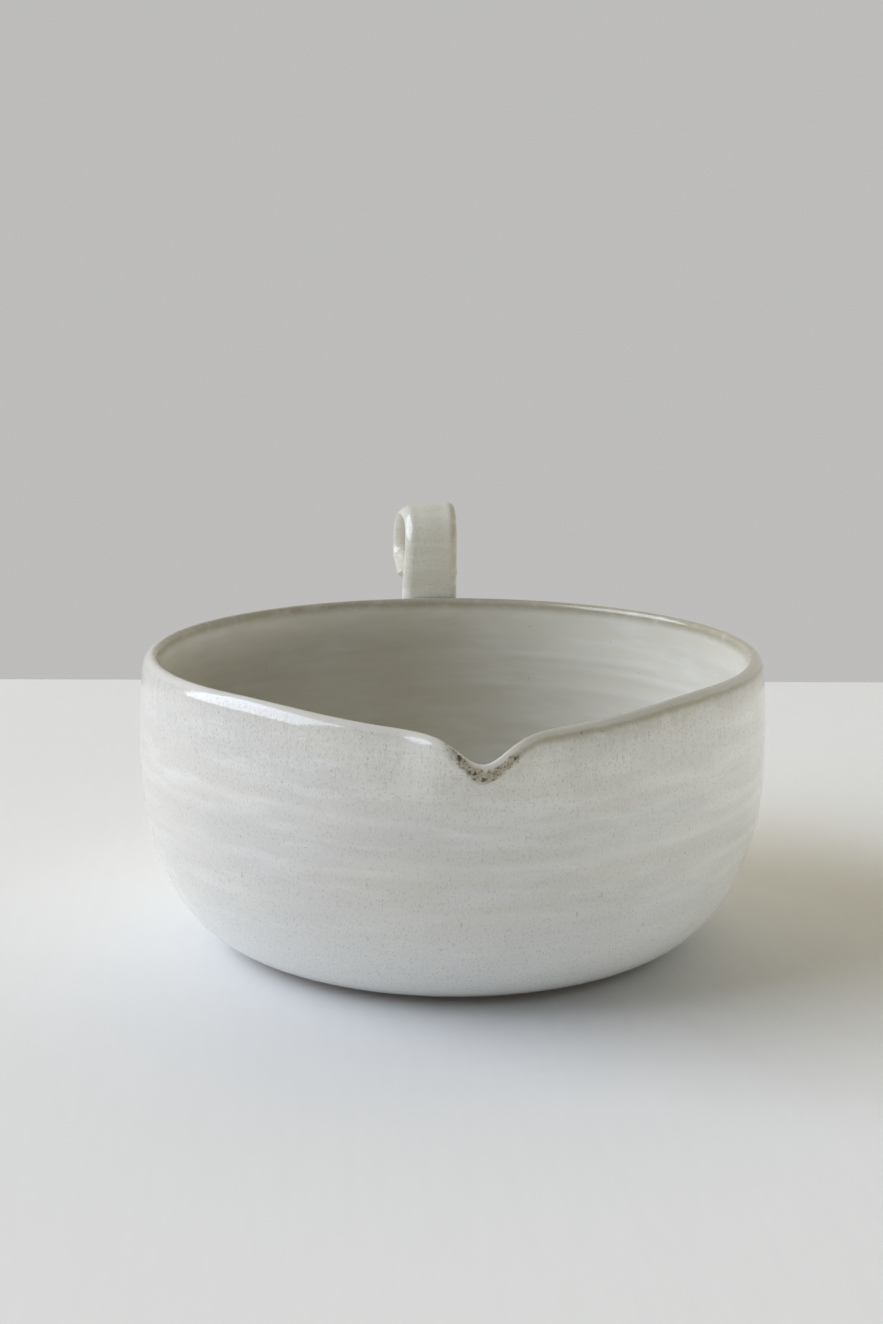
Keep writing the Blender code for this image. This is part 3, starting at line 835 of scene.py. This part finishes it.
# Root fillet. A soft roll of clay is worked into the corner between the strap's root and the wall
# and smoothed with a wet brush, so that it runs out to nothing on both.
FILLET_TOP_GAP = 0.012
FILLET_OUT = 0.0036
FILLET_UP = 0.0030
FILLET_IN = 0.0010
FILLET_DEEP = 0.0008
FILLET_FADE = 0.024
FILLET_TOE = 0.3  # share of its depth to which the outer edge sinks into the wall
FILLET_END = 0.03  # share of its size that is left at its ends, sunk in the clay
FILLET_SIDE_STEPS = 40
FILLET_TURN_STEPS = 56
FILLET_CURVE_STEPS = 10


def on_wall(across, height, proud):
    """The point of the rear wall that lies this far across and this high, raised from the wall."""
    radius = outer_radius(height) + proud
    return across, math.sqrt(radius**2 - across**2), height


def fillet_section(size):
    """A hollow-curved corner fillet as (away from the strap, up from the wall), scaled by size."""
    section = [(-FILLET_IN, -FILLET_DEEP), (-FILLET_IN, FILLET_UP * size - FILLET_DEEP * (1 - size))]
    for step in range(FILLET_CURVE_STEPS + 1):
        share = step / FILLET_CURVE_STEPS
        sunk = FILLET_TOE * share + (1 - size) * (1 - share)
        up = FILLET_UP * size * (1 - share) ** 2 - FILLET_DEEP * sunk
        section.append((FILLET_OUT * share, up))
    section.append((FILLET_OUT, -FILLET_DEEP))
    return section


def smooth_root_fillet():
    """The fillet carried down one side of the root, under its tongue and up the other side."""
    half_width = STRAP_WIDTH / 2
    top = RIM_HEIGHT - FILLET_TOP_GAP
    corner = ROOT_HEIGHT + ROOT_TONGUE
    outline = []
    for step in range(FILLET_SIDE_STEPS):
        outline.append((half_width, top + (corner - top) * step / FILLET_SIDE_STEPS, 1.0, 0.0))
    for step in range(FILLET_TURN_STEPS + 1):
        turn = math.pi * step / FILLET_TURN_STEPS
        away = Vector((math.cos(turn) / half_width, -math.sin(turn) / ROOT_TONGUE)).normalized()
        outline.append((half_width * math.cos(turn), corner - ROOT_TONGUE * math.sin(turn), away.x, away.y))
    for across, height, away_across, away_height in reversed(outline[:FILLET_SIDE_STEPS]):
        outline.append((-across, height, -away_across, away_height))
    points = []
    for across, height, away_across, away_height in outline:
        size = max(ramp(top - height, 0, FILLET_FADE), FILLET_END)
        for away, proud in fillet_section(size):
            points.append(on_wall(across + away_across * away, height + away_height * away, proud))
    section_points = len(fillet_section(1.0))
    return add_piece("root_fillet", points, tube_faces(len(outline), section_points), {})


root_fillet = smooth_root_fillet()
root_fillet.data.materials.append(glaze("root_fillet_glaze", CREAM, COOL_GREY))
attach(root_fillet, "root")
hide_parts("root_luting_coil")

# Tip fillet. A short roll of clay closes the corner under the tail, where it comes back to the stem,
# and is smoothed hollow with a finger.
TIP_SHARE = 0.88
TIP_SQUARE = 3.0
TIP_OUT = 0.0042
TIP_DOWN = 0.0040
TIP_STEPS = 40


def smooth_tip_fillet():
    """The hollow-curved corner carried across the stem's back, running out at both ends."""
    half_length = TIP_SHARE * STRAP_WIDTH / 2
    stem_back = stem_radius + STRAP_THICKNESS / 2
    underside = RIM_HEIGHT + LOOP_TAIL - STRAP_TIP_THICKNESS / 2
    points = []
    for step in range(TIP_STEPS + 1):
        share = 2 * step / TIP_STEPS - 1
        size = max(superellipse(share, TIP_SQUARE), FILLET_END)
        ring = [(-FILLET_IN, FILLET_IN)]
        for turn in range(FILLET_CURVE_STEPS + 1):
            way = turn / FILLET_CURVE_STEPS
            out = TIP_OUT * size * way**2 - FILLET_IN * (1 - size)
            down = TIP_DOWN * size * (1 - way) ** 2 - FILLET_IN * (1 - size)
            ring.append((out, -down))
        for out, up in ring:
            points.append((half_length * share, stem_back + out, underside + up))
    return add_piece("tip_fillet", points, tube_faces(TIP_STEPS + 1, FILLET_CURVE_STEPS + 2), {})


tip_fillet = smooth_tip_fillet()
tip_fillet.data.materials.append(glaze("tip_fillet_glaze", HANDLE_CREAM, HANDLE_GREY))
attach(tip_fillet, "root")
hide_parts("tip_luting_coil")

# Table. A plain wide board with softened edges, brushed with pale paint and square to the camera.
# The bowl stands free on it.
TABLE_HALF_WIDTH = 0.95
TABLE_FRONT = -1.10
TABLE_BACK = 0.39
TABLE_THICKNESS = 0.02
TABLE_BEVEL = 0.002
TABLE_BEVEL_STEPS = 3
TABLE_PALE = (0.795, 0.800, 0.790)
TABLE_BRUSHED = (0.765, 0.770, 0.760)
TABLE_ROUGH = 0.8
TABLE_SHEEN = 0.1
STROKES = (260.0, 4.0, 0.5)
STROKES_STRETCH = (1.0, 0.12, 1.0)


def lay_table():
    """The board, with the faint strokes of the brush in its paint."""
    work = bmesh.new()
    size = Matrix.Diagonal((2 * TABLE_HALF_WIDTH, TABLE_BACK - TABLE_FRONT, TABLE_THICKNESS, 1))
    place = Matrix.Translation((0, (TABLE_BACK + TABLE_FRONT) / 2, -TABLE_THICKNESS / 2))
    bmesh.ops.create_cube(work, size=1, matrix=turn_back @ place @ size)
    bmesh.ops.bevel(work, geom=work.edges, offset=TABLE_BEVEL, segments=TABLE_BEVEL_STEPS, affect="EDGES")
    mesh = bpy.data.meshes.new("table")
    work.to_mesh(mesh)
    work.free()
    table = bpy.data.objects.new("table", mesh)
    bpy.context.scene.collection.objects.link(table)
    paint = bpy.data.materials.new("table_paint")
    paint.use_nodes = True
    tree = paint.node_tree
    shader = tree.nodes["Principled BSDF"]
    place = add_node(tree, "ShaderNodeTexCoord", {}).outputs["Object"]
    strokes = noise(tree, stretched(tree, place, STROKES_STRETCH), *STROKES)
    tree.links.new(blend_colour(tree, strokes, TABLE_PALE, TABLE_BRUSHED), shader.inputs["Base Color"])
    shader.inputs["Roughness"].default_value = TABLE_ROUGH
    shader.inputs["Specular IOR Level"].default_value = TABLE_SHEEN
    mesh.materials.append(paint)
    return table


table = lay_table()

# Light. One large soft window on the left, and a room that is paler behind the bowl than in front of
# it and brightest low down on the right. The camera sees an even pale background.
ROOM_FRONT = (0.065, 0.062, 0.054)
ROOM_BACK = (0.92, 0.84, 0.65)
ROOM_PALE_SIDE = (-0.20, 0.98, 0.0)  # direction in which the room is palest
ROOM_TURN = (-0.4, 0.5)  # how far along it the room turns from dark to pale
ROOM_LOW = (1.20, 1.17, 1.10)
ROOM_LOW_RIGHT = (7.00, 7.25, 7.50)
ROOM_LOW_BAND = (-0.12, -0.04, 0.03, 0.15)  # how high the low light starts, is full, and ends
ROOM_RIGHT_TURN = (0.1, 0.9)
ROOM_SEEN = (0.51, 0.505, 0.50)  # for the camera and in reflections
WINDOW_AROUND = math.radians(-85)
WINDOW_UP = math.radians(30)
WINDOW_AWAY = 8.0
WINDOW_SIZE = (8.0, 6.8)
WINDOW_POWER = 725.0
WINDOW_COLOUR = (0.885, 0.97, 1.16)


def hang_window():
    """A soft rectangle of light that faces the bowl, placed round from the camera's side."""
    lamp = bpy.data.lights.new("window", "AREA")
    lamp.shape = "RECTANGLE"
    lamp.size, lamp.size_y = WINDOW_SIZE
    lamp.energy = WINDOW_POWER
    lamp.color = WINDOW_COLOUR
    window = bpy.data.objects.new("window", lamp)
    level = math.cos(WINDOW_UP)
    heading = (math.sin(WINDOW_AROUND) * level, -math.cos(WINDOW_AROUND) * level, math.sin(WINDOW_UP))
    heading = turn_back @ Vector(heading)
    window.location = heading * WINDOW_AWAY + Vector((0, 0, BELLY_HEIGHT))
    window.rotation_euler = heading.to_track_quat("Z", "Y").to_euler()
    bpy.context.scene.collection.objects.link(window)


hang_window()

room = bpy.data.worlds.new("room")
bpy.context.scene.world = room
room.use_nodes = True
tree = room.node_tree
rays = add_node(tree, "ShaderNodeLightPath", {})
seen = arithmetic(tree, "MAXIMUM", rays.outputs["Is Camera Ray"], rays.outputs["Is Glossy Ray"])
seen = arithmetic(tree, "MAXIMUM", seen, rays.outputs["Is Transmission Ray"])
way = add_node(tree, "ShaderNodeTexCoord", {}).outputs["Generated"]
behind = add_node(tree, "ShaderNodeVectorMath", {0: way, 1: ROOM_PALE_SIDE}, operation="DOT_PRODUCT")
behind = soft_step(tree, behind.outputs["Value"], *ROOM_TURN)
way = add_node(tree, "ShaderNodeSeparateXYZ", {0: way})
low = band(tree, way.outputs["Z"], *ROOM_LOW_BAND)
to_right = soft_step(tree, way.outputs["X"], *ROOM_RIGHT_TURN)
low_light = blend_colour(tree, to_right, ROOM_LOW, ROOM_LOW_RIGHT)
room_light = blend_colour(tree, low, blend_colour(tree, behind, ROOM_FRONT, ROOM_BACK), low_light)
tree.links.new(blend_colour(tree, seen, room_light, ROOM_SEEN), tree.nodes["Background"].inputs["Color"])
